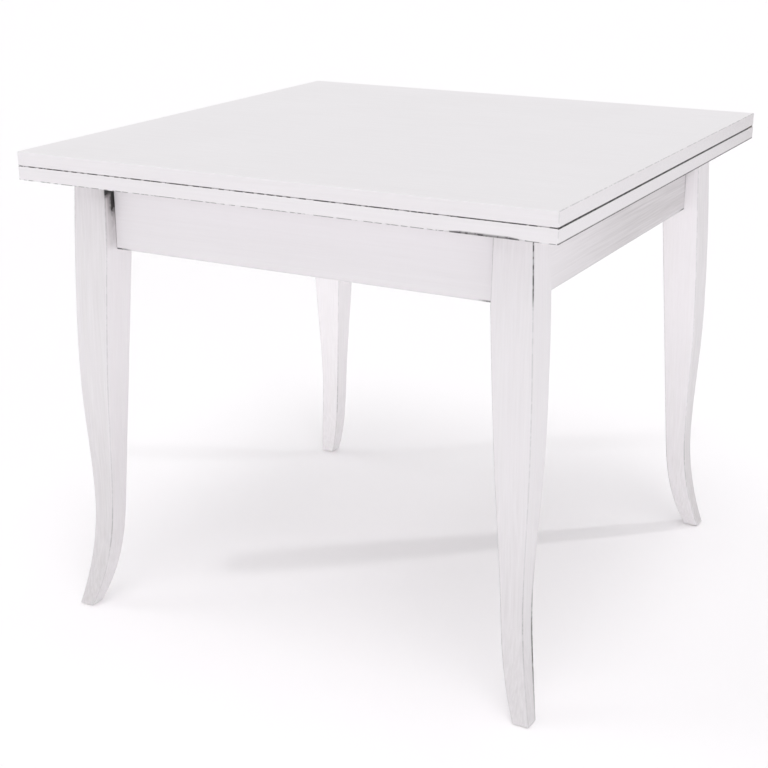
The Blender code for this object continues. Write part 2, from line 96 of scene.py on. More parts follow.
# Painted shade with a brown wash beside the reveal, close under the top.
NOOK_WASH_AND_SHADE, NOOK_WASH_AND_SHADE_ACROSS, NOOK_WASH_AND_SHADE_REACH = 0.14, 0.018, 0.02
# Painted shade from the knee down to the foot.
CALF_PAINTED_SHADE = 0.17
LACQUER_WHITE = (0.842, 0.820, 0.842, 1)
LACQUER_SHADE = (0.735, 0.708, 0.722, 1)
# Colours of the glaze, which also paint shade in places.
GLAZE_AND_SHADE_GREY = (0.020, 0.018, 0.017, 1)
WASH_AND_SHADE_BROWN = (0.190, 0.165, 0.155, 1)
BRUSH_WAVES, PORE_WAVES = (7.0, 330.0), (45.0, 1500.0)
CLOUD_WAVES, DASH_WAVES = (5.0, 5.0, 5.0), (105.0, 105.0, 105.0)
MID_TONE, CLOUD_SHARE, PORE_SHARE = 0.24, 0.30, 0.22
UPRIGHT_STREAK = 0.62


def node(tree, kind, settings=None, **sockets):
    """One shader node: its settings first, then each socket, by name or _number, gets a value or a link."""
    made = tree.nodes.new("ShaderNode" + kind)
    for key, value in (settings or {}).items():
        setattr(made, key, value)
    for key, value in sockets.items():
        socket = made.inputs[int(key[1:]) if key.startswith("_") else key.replace("_", " ")]
        if isinstance(value, bpy.types.NodeSocket):
            tree.links.new(value, socket)
        else:
            socket.default_value = value
    return made


def sums(tree, operation, first, second=0.0, third=0.0):
    """The result of one step of arithmetic in a material."""
    return node(tree, "Math", {"operation": operation}, _0=first, _1=second, _2=third).outputs[0]


def grain(tree, stretch, detail=3.0, rough=0.55):
    """Noise on the piece's own coordinates, with so many waves to the metre along X, Y and Z."""
    place = node(tree, "TexCoord").outputs["Object"]
    mapped = node(tree, "Mapping", Vector=place, Scale=stretch).outputs[0]
    return node(tree, "TexNoise", Vector=mapped, Scale=1.0, Detail=detail, Roughness=rough).outputs[0]


def ramp(tree, value, low, high, to_low=0.0, to_high=1.0):
    """A value spread from one range to another and held at its ends."""
    return node(tree, "MapRange", {"clamp": True}, _0=value, _1=low, _2=high, _3=to_low, _4=to_high).outputs[0]


def mixed(tree, share, first, second):
    """Two colours mixed by a share."""
    return node(tree, "Mix", {"data_type": "RGBA"}, _0=share, _6=first, _7=second).outputs[2]


def new_finish(name):
    """A fresh material, its node tree and its shader."""
    material = bpy.data.materials.new(name)
    material.use_nodes = True
    return material, material.node_tree, material.node_tree.nodes["Principled BSDF"]


def dress(tree, shader, colour, rough, strength, distance, height):
    """Give a shader its colour, its roughness and the relief of its surface."""
    bump = node(tree, "Bump", Strength=strength, Distance=distance, Height=height)
    for socket, value in (("Base Color", colour), ("Roughness", rough), ("Normal", bump.outputs[0])):
        tree.links.new(value, shader.inputs[socket])


def from_mesh(tree, attribute):
    """A value that the piece's mesh carries at its points, or nought where it carries none."""
    return node(tree, "Attribute", {"attribute_name": attribute}).outputs["Fac"]


def axes_of(tree):
    """The piece's own X, Y and Z in a material."""
    return node(tree, "SeparateXYZ", _0=node(tree, "TexCoord").outputs["Object"]).outputs


def lacquer(name, along, streak, glaze_lines, glaze_wash):
    """White brushed lacquer over open pores: brush streaks and pores drawn out along one axis and soft clouds.
    Dark glaze and painted shade lie in the given lines, which may be broken into dashes a couple of
    centimetres long, and a thin brown wash, painted shade with it in places, follows the brush."""
    material, tree, shader = new_finish(name)
    longways = np.eye(3)[along].astype(bool)
    brush = grain(tree, np.where(longways, *BRUSH_WAVES), 4.0)
    pores = ramp(tree, grain(tree, np.where(longways, *PORE_WAVES), 2.0), 0.58, 0.72)
    clouds = grain(tree, CLOUD_WAVES)
    dashes = ramp(tree, grain(tree, DASH_WAVES, 2.0), 0.42, 0.52, 0.05, 1.0)
    tone = sums(tree, "MULTIPLY_ADD", brush, streak, MID_TONE - streak / 2)
    tone = sums(tree, "MULTIPLY_ADD", clouds, CLOUD_SHARE, sums(tree, "SUBTRACT", tone, CLOUD_SHARE / 2))
    tone = sums(tree, "MULTIPLY_ADD", pores, PORE_SHARE * streak, tone)
    wash = sums(tree, "MULTIPLY", glaze_wash(tree), ramp(tree, brush, 0.25, 0.75, 0.65, 1.35))
    paint = mixed(tree, ramp(tree, tone, 0.0, 1.0), LACQUER_WHITE, LACQUER_SHADE)
    paint = mixed(tree, wash, paint, WASH_AND_SHADE_BROWN)
    paint = mixed(tree, glaze_lines(tree, dashes), paint, GLAZE_AND_SHADE_GREY)
    relief = sums(tree, "MULTIPLY_ADD", pores, -0.7, brush)
    dress(tree, shader, paint, ramp(tree, brush, 0.25, 0.75, 0.40, 0.54), 0.30, 0.00012, relief)
    return material


def make_piece(name, shells, material, slot, body, nodes, **carried):
    """One piece from its shells. A shell is a grid of points: rows follow a path, columns go round a closed
    section, each cell is a quad, and the first and last rows are closed by flat ends. Values that its mesh
    carries for the material come as grids too."""
    points, faces, start = [], [], 0
    for grid in shells:
        rows, cols = grid.shape[:2]
        index = start + np.arange(rows * cols).reshape(rows, cols)
        beside = np.roll(index, -1, axis=1)
        quads = np.stack([index[:-1], beside[:-1], beside[1:], index[1:]], axis=-1).reshape(-1, 4)
        faces += quads.tolist() + [index[0, ::-1].tolist(), index[-1].tolist()]
        points.append(grid.reshape(-1, 3))
        start += rows * cols
    mesh = bpy.data.meshes.new(name)
    mesh.from_pydata(np.concatenate(points).tolist(), [], faces)
    mesh.shade_smooth()
    mesh.set_sharp_from_angle(angle=SHARP_FROM)
    for attribute, values in carried.items():
        layer = mesh.attributes.new(attribute, "FLOAT", "POINT")
        layer.data.foreach_set("value", values.ravel().astype(np.float32))
    mesh.materials.append(material)
    made = bpy.data.objects.new(name, mesh)
    bpy.context.scene.collection.objects.link(made)
    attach(made, body)
    if nodes:
        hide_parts(*nodes)
    return made


def stations(low, high, ease, between):
    """Places along a straight run, and how far a section is drawn in at each: by a quarter circle of the given
    radius at both ends, and not at all between. A narrow flat rim lies inside each end."""
    turn = np.linspace(0, np.pi / 2, END_ROWS)
    rise = np.append(0, ease * (1 - np.cos(turn)))
    drawn = np.append(END_RIM * ease, ease * (1 - np.sin(turn)))
    place = np.concatenate([low + rise, between, (high - rise)[::-1]])
    return place, np.concatenate([drawn, np.zeros(len(between)), drawn[::-1]])


def raised(plan, height):
    """Rows of plan points, each row put at its own height."""
    upright = np.broadcast_to(height[:, None, None], plan.shape[:2] + (1,))
    return np.concatenate([plan, upright], axis=-1)


def to_corner(points, name):
    """Points laid out for the back right corner, with the post's outer top corner at zero, in their own one."""
    side_x, side_y, quarters = CORNERS[name]
    cosine, sine = np.cos(quarters * np.pi / 2), np.sin(quarters * np.pi / 2)
    turned_x = cosine * points[..., 0] - sine * points[..., 1] + side_x * POST_REACH
    turned_y = sine * points[..., 0] + cosine * points[..., 1] + side_y * POST_REACH
    return np.stack([turned_x, turned_y, points[..., 2]], axis=-1)


def leg_faces(height):
    """How far the outer and the inner faces stand from the post's top corner. Outside, a quarter sine goes down
    to the knee, half a cosine in to the ankle and a power curve out to the toe. Inside, the face is upright
    beside the apron, tapers straight to the ankle and follows a steeper power curve to the heel."""
    kick = np.clip((ANKLE - height) / (ANKLE - LEG_FOOT), 0, 1)
    knee = np.clip((POST_TOP - height) / (POST_TOP - KNEE), 0, 1)
    calf = np.clip((KNEE - height) / (KNEE - ANKLE), 0, 1)
    outer = KNEE_SWING * np.sin(np.pi / 2 * knee) + (TOE_SWING - ANKLE_SWING) * kick ** TOE_CURVE
    outer = outer - (KNEE_SWING - ANKLE_SWING) * (1 - np.cos(np.pi * calf)) / 2
    slope = (ANKLE_SWING - ANKLE_WIDTH + POST_WIDTH) / (APRON_LOW - ANKLE)
    straight_end = slope * (APRON_LOW - LEG_FOOT) - POST_WIDTH
    inner = slope * np.clip(APRON_LOW - height, 0, None) - POST_WIDTH
    return outer, inner + (TOE_SWING - TOE_WIDTH - straight_end) * kick ** HEEL_CURVE


def leg_shell():
    """The leg as a rounded square section carried up its height. Each column of points is a share of the way
    from the inner to the outer face plus a fixed offset for the arris, so the arrises keep their radius."""
    ends = np.array([[1, 1], [0, 1], [0, 0], [1, 0]], float)
    angle = np.radians(90 * np.arange(4)[:, None] + np.linspace(0, 90, ARRIS_POINTS)[None])
    offset = LEG_ARRIS * (np.stack([np.cos(angle), np.sin(angle)], -1) - (2 * ends - 1)[:, None])
    share = np.repeat(ends[:, None], ARRIS_POINTS, axis=1)
    step = FACE_SHARES[None, :, None]
    between = [a[:, -1:] + (np.roll(a, -1, axis=0)[:, :1] - a[:, -1:]) * step for a in (share, offset)]
    share = np.concatenate([share, between[0]], axis=1).reshape(1, -1, 2)
    offset = np.concatenate([offset, between[1]], axis=1).reshape(1, -1, 2)
    near_zero = 1e-5
    shin = np.linspace(LEG_FOOT + 2 * LEG_END_EASE, APRON_LOW - near_zero, SHIN_ROWS)
    post = np.linspace(APRON_LOW + near_zero, POST_TOP - 2 * LEG_END_EASE, POST_ROWS)
    height, inset = stations(LEG_FOOT, POST_TOP, LEG_END_EASE, np.concatenate([shin, post]))
    outer, inner = (face[:, None, None] for face in leg_faces(height))
    plan = inner * (1 - share) + outer * share + offset
    middle = (inner + outer) / 2
    plan = middle + (plan - middle) * (1 - 2 * inset[:, None, None] / (outer - inner))
    past_flat = np.clip(-plan.sum(-1) / np.sqrt(2) - LEG_FLAT, 0, None) * (height > APRON_LOW)[:, None]
    return raised(plan + past_flat[..., None] / np.sqrt(2), height)


def leg_glaze(leg, ankle_line, first_face_shade, last_face_shade, in_nook):
    """Glaze lines, wash and painted shade on the leg. All arrises have a thin line of glaze with a little more
    at the ankle, and the outer one has a full line beside the apron. One side arris may have a broad line at
    the ankle, which laps on to its outer face. On the reveal beside the apron, by the leg's share for its nook,
    patina and painted shade are solid close under the top and in a strip along the apron, which then fades
    down. A brown wash with painted shade lies on the reveal and beside it by the same share; painted shade lies
    close under the top, again from the knee to the foot, and on each of the two outer faces. The sawn top end
    has none of these."""
    height = leg[..., 2]
    outer, inner = leg_faces(height)
    below = np.clip(POST_TOP - UNWIPED - height, 0, None)
    on_arris = np.concatenate([ARRIS_GLAZE, np.zeros(len(FACE_SHARES))])
    arris = np.tile(on_arris, 4)
    column = np.arange(len(arris))
    lapped = np.isin(column - len(on_arris), [-2, -1, 0, 1, 2, 3])
    face = np.where(column % len(on_arris) < ARRIS_POINTS, -1, column // len(on_arris))
    # Painted shade on the first and on the last outer face.
    face_shade = np.select([face == 0, face == 3], [first_face_shade, last_face_shade], 0.0)
    thin = ARRIS_LINE - ARRIS_LINE_LOSS * np.clip((below - LOSS_FROM) / LOSS_OVER, 0, 1)
    thin = thin + ARRIS_LINE_AT_ANKLE * np.exp(-((height - ANKLE_GLAZE) / ANKLE_GLAZE_REACH) ** 2)
    full = FULL_LINE * np.clip((FULL_LINE_END - below) / FULL_LINE_FADE, 0, 1) * (column < ARRIS_POINTS)
    heavy = ankle_line * np.exp(-((height - LAP) / LAP_REACH) ** 2) * lapped
    # Patina and painted shade in the reveal beside the apron, solid under the top and along the apron.
    off_inner = leg[..., :2].min(-1) - inner
    inside = np.exp(-off_inner / REVEAL_EDGE) * np.clip((height - APRON_LOW) / REVEAL_FADE, 0, 1)
    off_apron = leg[..., :2].max(-1) - outer + APRON_SETBACK
    strip_depth = np.exp(-(below / STRIP_SOLID) ** 4) + STRIP_TRACE * np.exp(-below / STRIP_TRACE_REACH)
    strip = np.clip((STRIP_WIDTH - off_apron) / STRIP_FADE, 0, 1) * np.clip(strip_depth, 0, 1)
    band = np.exp(-((POST_TOP - height) / BAND_HIGH) ** 8)
    nook = np.maximum(strip, band) * np.clip(1 + off_apron / NOOK_EDGE, 0, 1)
    lines = np.clip((thin + full) * arris + heavy, 0, 1) + in_nook * inside * nook
    # A brown wash with painted shade on the reveal and beside it.
    wash = REVEAL_WASH_AND_SHADE * inside * np.exp(-below / REVEAL_WASH_AND_SHADE_REACH)
    wash = in_nook * (wash + NOOK_WASH_AND_SHADE * np.exp(-off_inner / NOOK_WASH_AND_SHADE_ACROSS - below / NOOK_WASH_AND_SHADE_REACH))
    # Painted shade close under the top.
    wash = wash + TOP_PAINTED_SHADE * np.exp(-below / TOP_PAINTED_SHADE_REACH)
    # Painted shade from the knee to the foot, and painted shade on the outer faces.
    wash = wash + CALF_PAINTED_SHADE * np.clip((KNEE - height) / KNEE, 0, 1) + face_shade
    off_end = np.clip((POST_TOP - height) / LEG_END_EASE, 0, 1)
    return lines * off_end, wash * off_end


def lines_on_mesh(tree, dashes):
    """The lines of glaze and painted shade that a mesh carries, a little broken up."""
    return sums(tree, "MULTIPLY", from_mesh(tree, "glaze"), ramp(tree, dashes, 0.0, 1.0, 0.6, 1.0))


lacquer_upright = lacquer("white_lacquer_upright", 2, UPRIGHT_STREAK, lines_on_mesh,
                          lambda tree: from_mesh(tree, "wash"))
leg = leg_shell()
for corner in CORNERS:
    leg_lines, leg_wash = leg_glaze(leg, *LEG_GLAZE_AND_SHADE[corner])
    make_piece("sabre_leg_" + corner, [to_corner(leg, corner)], lacquer_upright, "white_lacquer", "frame",
               ["leg_" + corner], glaze=leg_lines, wash=leg_wash)


# Foot glides: small nylon discs pressed into the foot of each leg so that it slides on a hard floor.
# They are moulded, off-white, with an eased rim and a face scuffed by the floor.
GLIDE_RADIUS = 0.0105
GLIDE_HIGH = 0.002
GLIDE_ROUND = 0.0007
FOOT_MIDDLE = TOE_SWING - TOE_WIDTH / 2
DISC_SIDES = 40


def circle(sides):
    """The angles of so many points evenly round a ring."""
    return 2 * np.pi * np.arange(sides) / sides


def rings(radius, angle, height):
    """Points about Z from grids of radius, angle and height."""
    return np.stack(np.broadcast_arrays(radius * np.cos(angle), radius * np.sin(angle), height), axis=-1)


def turned(profile, sides):
    """A profile of radius and height spun about Z: every pair becomes a ring, the end rings are closed flat."""
    radius, height = np.asarray(profile, float).T[:, :, None]
    return rings(radius, circle(sides), height)


def round_rim(radius, low, high, ease):
    """Profile of a disc with both rims rounded by a quarter circle."""
    place, inset = stations(low, high, ease, [])
    return np.stack([radius - inset, place], axis=-1)


def moulded_nylon():
    """Natural nylon: off-white, a little cloudy, with the fine orange-peel of a mould and small scuffs."""
    material, tree, shader = new_finish("natural_nylon")
    clouds = grain(tree, (60.0, 60.0, 60.0))
    peel = grain(tree, (1800.0, 1800.0, 1800.0), 2.0)
    tint = mixed(tree, clouds, (0.80, 0.79, 0.75, 1), (0.69, 0.68, 0.63, 1))
    dress(tree, shader, tint, ramp(tree, clouds, 0.3, 0.7, 0.42, 0.58), 0.25, 0.0001, peel)
    return material


nylon = moulded_nylon()
glide_disc = turned(round_rim(GLIDE_RADIUS, 0.0, GLIDE_HIGH, GLIDE_ROUND), DISC_SIDES)
glide_disc = glide_disc + np.array([FOOT_MIDDLE, FOOT_MIDDLE, 0])
for corner in CORNERS:
    make_piece("floor_glide_" + corner, [to_corner(glide_disc, corner)], nylon, "nylon", "frame",
               ["foot_glide_" + corner])


# Aprons: four white boards between the posts, set back from their faces, with eased long arrises. A saw kerf
# across the inside near each end takes the flange of a corner bracket. Glaze stays beside the posts, painted
# shade darkens the lower arris, most near the posts, and the side aprons are darker towards their back ends,
# partly by stain and partly by painted shade.
APRON_EASE = 0.0012
APRON_ARRIS = 0.0015
APRON_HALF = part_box("apron_front")[1].x
APRON_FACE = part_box("apron_right")[1].x
KERF_HALF = 0.0013
KERF_FLOOR = 0.0063
KERF_PLACE = 0.2786
SMALL_EASE = 0.0004
RIM_STEPS = np.array([0.0006, 0.003, 0.012, 0.045])
RIM_SHARES = np.array([0.1, 0.2, 0.3, 0.4])
ARC_SPARE = 0.8
FRONT_STREAK, SIDE_STREAK = 0.40, 0.38
BESIDE_POST, BESIDE_WIDTHS = 0.0003, (0.0020, 0.0060)
BESIDE_FADE = 0.015, 0.075, 0.12, 1.0
# Painted shade along the lower arris, full near the posts and a trace between.
UNDER_WIDTH = 0.0016, 0.0034, 1.0, 0.0
UNDER_FADE = 0.012, 0.03, 1.0, 0.08
APRON_SKIN = 0.0010, 0.0022, 1.0, 0.0
# Side aprons darker towards the back: partly stain, partly painted shade.
SIDE_STAIN_AND_SHADE = -0.33, 0.05, 0.0, 0.31


def near_ends(length):
    """Distances from the end of a straight run at which a surface gets points: close by the arris, then wider,
    and never past four tenths of the run."""
    return np.minimum(RIM_STEPS, np.multiply.outer(length, RIM_SHARES))


def clockwise(outline):
    """Whether a closed outline goes round clockwise, by the sign of its area."""
    following = np.roll(outline, -1, axis=0)
    return np.sum(outline[:, 0] * following[:, 1] - following[:, 0] * outline[:, 1]) < 0


def arcs(corners, before, after, radius):
    """At each corner an arc that turns from the run before to the run after: its points, the heading at each
    of them, and how far from the corner it starts."""
    left = np.stack([-before[:, 1], before[:, 0]], axis=1)
    turn = np.arctan2((left * after).sum(1), (before * after).sum(1))
    set_back = radius * np.tan(np.abs(turn) / 2)
    angle = np.abs(turn)[:, None] * np.linspace(0, 1, ARRIS_POINTS)
    side = np.sign(turn)[:, None]
    ahead, aside = before[:, None], left[:, None]
    first = corners - before * set_back[:, None]
    arc = np.sin(angle)[..., None] * ahead + (side * (1 - np.cos(angle)))[..., None] * aside
    heading = np.cos(angle)[..., None] * ahead + (side * np.sin(angle))[..., None] * aside
    return first[:, None] + radius[:, None, None] * arc, heading, set_back


def eased(corners, radius, end_ease):
    """A closed outline with its corners rounded by arcs, and with points close to each arc on both runs. Also
    gives each point's outward direction, and the share of an end's rounding that it can take without its own
    arc closing up."""
    corners = np.asarray(corners, float)
    radius = np.broadcast_to(np.asarray(radius, float), len(corners))
    if clockwise(corners):
        corners, radius = corners[::-1], radius[::-1]
    run = np.roll(corners, -1, axis=0) - corners
    length = np.linalg.norm(run, axis=1)
    onward = run / length[:, None]
    arc, heading, set_back = arcs(corners, np.roll(onward, 1, axis=0), onward, radius)
    step = near_ends(length - set_back - np.roll(set_back, -1))[..., None]
    after = arc[:, -1:] + step * onward[:, None]
    before = np.roll(arc, -1, axis=0)[:, :1] - step[:, ::-1] * onward[:, None]
    straight = np.repeat(onward[:, None], 2 * len(RIM_STEPS), axis=1)
    heading = np.concatenate([heading, straight], axis=1).reshape(-1, 2)
    share = np.minimum(1, ARC_SPARE * radius / end_ease)[:, None]
    share = [np.repeat(share, ARRIS_POINTS + len(RIM_STEPS), axis=1),
             np.repeat(np.roll(share, -1, axis=0), len(RIM_STEPS), axis=1)]
    outline = np.concatenate([arc, after, before], axis=1).reshape(-1, 2)
    outward = np.stack([heading[:, 1], -heading[:, 0]], axis=1)
    return outline, outward, np.concatenate(share, axis=1).ravel()


def milled(corners, radius, axis, low, high, ease):
    """An eased outline carried straight along one axis and drawn in by a quarter circle at both ends. The
    outline's pairs are X and Y along Z, Y and Z along X, or Z and X along Y."""
    outline, outward, share = eased(corners, radius, ease)
    step = near_ends(high - low - 2 * ease)
    between = np.concatenate([low + ease + step, (high - ease - step)[::-1]])
    place, inset = stations(low, high, ease, between)
    section = outline - outward * (inset[:, None] * share)[..., None]
    return np.roll(raised(section, place), "zxy".index(axis), axis=-1)


def apron_board(node_name, along, sign):
    """An apron's plan with its two kerfs carried up its height."""
    low, high = (np.array(corner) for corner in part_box(node_name))
    half = high[along]
    outer, inner = sorted((low[1 - along] * sign, high[1 - along] * sign))[::-1]
    depth = inner + KERF_FLOOR
    plan = [(-half, outer), (half, outer), (half, inner)]
    for place in (KERF_PLACE, -KERF_PLACE):
        plan += [(place + KERF_HALF, inner), (place + KERF_HALF, depth)]
        plan += [(place - KERF_HALF, depth), (place - KERF_HALF, inner)]
    plan = np.array(plan + [(-half, inner)]) * (1, sign)
    radius = np.full(len(plan), SMALL_EASE)
    radius[:2] = APRON_ARRIS
    return milled(plan if along == 0 else plan[:, ::-1], radius, "z", low[2], high[2], APRON_EASE)


def apron_lines(tree, dashes, along):
    """Glaze and painted shade on an apron's outer face, from its coordinates: a line of glaze beside each post
    that fades downwards, and one of painted shade along the lower arris that is full near the posts and a trace
    between."""
    axes = axes_of(tree)
    from_end = sums(tree, "SUBTRACT", APRON_HALF, sums(tree, "ABSOLUTE", axes[along]))
    from_face = sums(tree, "SUBTRACT", APRON_FACE, sums(tree, "ABSOLUTE", axes[1 - along]))
    rise = sums(tree, "SUBTRACT", axes[2], APRON_LOW)
    beside = ramp(tree, from_end, BESIDE_POST, BESIDE_WIDTHS[along], 1.0, 0.0)
    beside = sums(tree, "MULTIPLY", beside, ramp(tree, rise, *BESIDE_FADE))
    # Painted shade along the lower arris.
    painted_under_shade = ramp(tree, rise, *UNDER_WIDTH)
    painted_under_shade = sums(tree, "MULTIPLY", painted_under_shade, ramp(tree, from_end, *UNDER_FADE))
    broken = ramp(tree, dashes, 0.0, 1.0, 0.7, 1.0)
    broken = sums(tree, "MULTIPLY", broken, ramp(tree, from_face, *APRON_SKIN))
    return sums(tree, "MULTIPLY", sums(tree, "MAXIMUM", beside, painted_under_shade), broken)


lacquer_wide = lacquer("white_lacquer_along_front", 0, FRONT_STREAK,
                       lambda tree, dashes: apron_lines(tree, dashes, 0), lambda tree: 0.0)
lacquer_deep = lacquer("white_lacquer_along_side", 1, SIDE_STREAK,
                       lambda tree, dashes: apron_lines(tree, dashes, 1),
                       lambda tree: ramp(tree, axes_of(tree)[1], *SIDE_STAIN_AND_SHADE))
for side, along, sign in (("front", 0, -1), ("back", 0, 1), ("left", 1, -1), ("right", 1, 1)):
    make_piece("apron_board_" + side, [apron_board("apron_" + side, along, sign)],
               lacquer_wide if along == 0 else lacquer_deep, "white_lacquer", "frame", ["apron_" + side])


# Corner fixings: a zinc-plated steel bracket bent across the corner, its flanges in the apron kerfs and its
# wings held by four pan-head screws, a hanger bolt screwed into the leg, and a flanged nut that draws it up.
# The sheet is bent cold, so its corners are rounded; the bolt's tail has a rolled thread.
BRACKET_SHEET = 0.002
BRACKET_BEND_RADIUS = 0.003
BRACKET_EDGE = 0.0003
BRACKET_LOW, BRACKET_HIGH = (corner.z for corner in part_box("corner_bracket_back_right"))
BRACKET_MIDDLE = (BRACKET_LOW + BRACKET_HIGH) / 2
BRACKET_WALL = 0.0413
BRACKET_WEB = LEG_FLAT + 0.012
BRACKET_BEND = np.sqrt(2) * (BRACKET_WEB + BRACKET_SHEET / 2) - BRACKET_WALL
BRACKET_END = BRACKET_BEND + 0.028
BRACKET_TIP = 0.034
NUT_SEAT = BRACKET_WEB + BRACKET_SHEET + 0.0003
BOLT_RADIUS = 0.004
BOLT_BITE = 0.030
BOLT_TAIL = 0.016
BOLT_CONE = 0.0008
BOLT_SIDES = 20
THREAD_PITCH = 0.00125
THREAD_DEPTH = 0.0006
THREAD_STEPS = 5
THREAD_RUN_IN = 0.001
NUT_FLATS = 0.0065
NUT_HIGH = 0.0065
NUT_FLANGE = 0.009
NUT_FLANGE_THICK = 0.0015
NUT_FLANGE_INSET = np.array([0.0003, 0, 0.0004, 0.0012])
NUT_LEVELS = np.array([0, 0.0003, NUT_FLANGE_THICK, NUT_FLANGE_THICK, 1.02 * NUT_FLANGE_THICK,
                       NUT_HIGH - 0.0016, NUT_HIGH - 0.001, NUT_HIGH - 0.0005, NUT_HIGH])
NUT_CONE, NUT_CONE_SLOPE = 0.0001, 1.6
NUT_SIDES = 48
SCREW_RADIUS = 0.0035
SCREW_DOME = 0.0016
SCREW_SKIRT = 0.0004
SCREW_SHARES = np.array([1.0, 1.0, 0.92, 0.72, 0.56, 0.48, 0.30, 0.12])
SCREW_SIDES = 24
RECESS_REACH, RECESS_ARM, RECESS_DEPTH = 0.5, 0.13, 0.45
WING_SHARES = (0.32, 0.72)
WING_SCREW_RISE = 0.011


def plated_steel():
    """Zinc plate on pressed steel: cool grey with faint spangle, drawn lines along Z and dulled patches."""
    material, tree, shader = new_finish("zinc_plate")
    spangle = grain(tree, (220.0, 220.0, 220.0), 3.0)
    drawn = grain(tree, (1400.0, 1400.0, 60.0), 2.0)
    tint = mixed(tree, spangle, (0.66, 0.67, 0.69, 1), (0.47, 0.48, 0.49, 1))
    dress(tree, shader, tint, ramp(tree, spangle, 0.3, 0.7, 0.30, 0.48), 0.15, 0.0001, drawn)
    shader.inputs["Metallic"].default_value = 1.0
    return material


def bent_sheet(path, thick, bend_radius):
    """Outline of a sheet bent along an open path: the path's corners are rounded on the middle line, and each
    side is that line moved half the thickness along its normal."""
    run = np.diff(path, axis=0)
    run = run / np.linalg.norm(run, axis=1, keepdims=True)
    arc, heading, _ = arcs(path[1:-1], run[:-1], run[1:], np.full(len(path) - 2, bend_radius))
    heading = np.concatenate([run[:1], heading.reshape(-1, 2), run[-1:]])
    line = np.concatenate([path[:1], arc.reshape(-1, 2), path[-1:]])
    normal = np.stack([-heading[:, 1], heading[:, 0]], axis=1) * thick / 2
    return np.concatenate([line - normal, (line + normal)[::-1]])


def bracket_shell():
    """The bent outline carried up the bracket's height, its two cut edges drawn in a little."""
    ends = [(BRACKET_TIP, BRACKET_END), (BRACKET_WALL, BRACKET_END), (BRACKET_WALL, BRACKET_BEND)]
    path = -np.array(ends + [pair[::-1] for pair in ends[::-1]])
    outline = bent_sheet(path, BRACKET_SHEET, BRACKET_BEND_RADIUS)
    if clockwise(outline):
        outline = outline[::-1]
    level = np.array([BRACKET_LOW, BRACKET_LOW + BRACKET_EDGE, BRACKET_HIGH - BRACKET_EDGE, BRACKET_HIGH])
    return raised(np.broadcast_to(outline, (len(level),) + outline.shape), level)


def on_diagonal(points, along):
    """A shape laid out along Z, turned on to the leg's inward diagonal at a distance from its corner."""
    half = np.sqrt(0.5)
    reach = along + points[..., 2]
    return np.stack([half * (points[..., 0] - reach), half * (-points[..., 0] - reach),
                     BRACKET_MIDDLE + points[..., 1]], axis=-1)


def bolt_shell():
    """A rod whose radius dips by a triangle wave that climbs one pitch a turn, from the leg's flat outwards,
    with a small cone at the tip."""
    tip = NUT_SEAT + BOLT_TAIL - LEG_FLAT
    threaded = np.arange(0, tip, THREAD_PITCH / THREAD_STEPS)
    length = np.concatenate([[-BOLT_BITE, -THREAD_RUN_IN], threaded, [tip]])[:, None]
    angle = circle(BOLT_SIDES)
    phase = (length / THREAD_PITCH - angle / (2 * np.pi)) % 1
    cut = np.clip(length / THREAD_PITCH, 0, 1)
    radius = BOLT_RADIUS - THREAD_DEPTH * cut * (1 - np.abs(2 * phase - 1))
    radius = np.minimum(radius, BOLT_RADIUS - BOLT_CONE + np.clip(tip - length, 0, None))
    return rings(radius, angle, length)


def nut_shell():
    """A flange and a hexagon in one surface: at each height the radius is the flange's, or the hexagon's own
    distance to its flats, cut at the top by a cone."""
    angle = circle(NUT_SIDES)
    flats = NUT_FLATS / np.cos((angle + np.pi / 6) % (np.pi / 3) - np.pi / 6)
    cone = NUT_FLATS + NUT_CONE + NUT_CONE_SLOPE * (NUT_HIGH - NUT_LEVELS)
    radius = np.minimum(flats, cone[:, None])
    radius[:4] = NUT_FLANGE - NUT_FLANGE_INSET[:, None]
    radius[3] = np.maximum(radius[3], flats)
    return rings(radius, angle, NUT_LEVELS[:, None])


def screw_head(radius, dome):
    """A cross-recess screw head over the plane at zero: a shallow dome of radius and turn, sunk along two
    crossed arms in the middle."""
    share, angle = SCREW_SHARES[:, None], circle(SCREW_SIDES)
    arms = np.minimum(np.abs(np.sin(angle)), np.abs(np.cos(angle)))
    height = dome * np.sqrt(np.clip(1 - share ** 2, 0, 1))
    height[0] = -SCREW_SKIRT
    sunk = (share * arms < RECESS_ARM) & (share < RECESS_REACH)
    return rings(radius * share, angle, height - RECESS_DEPTH * radius * sunk)


def screws_at(places, facing, radius=SCREW_RADIUS, dome=SCREW_DOME):
    """Copies of a screw head, one at each place, all facing one way along an axis."""
    facing = np.asarray(facing, float)
    across = np.roll(facing, 1)
    turn = np.stack([across, np.cross(facing, across), facing])
    return [screw_head(radius, dome) @ turn + np.asarray(place, float) for place in places]


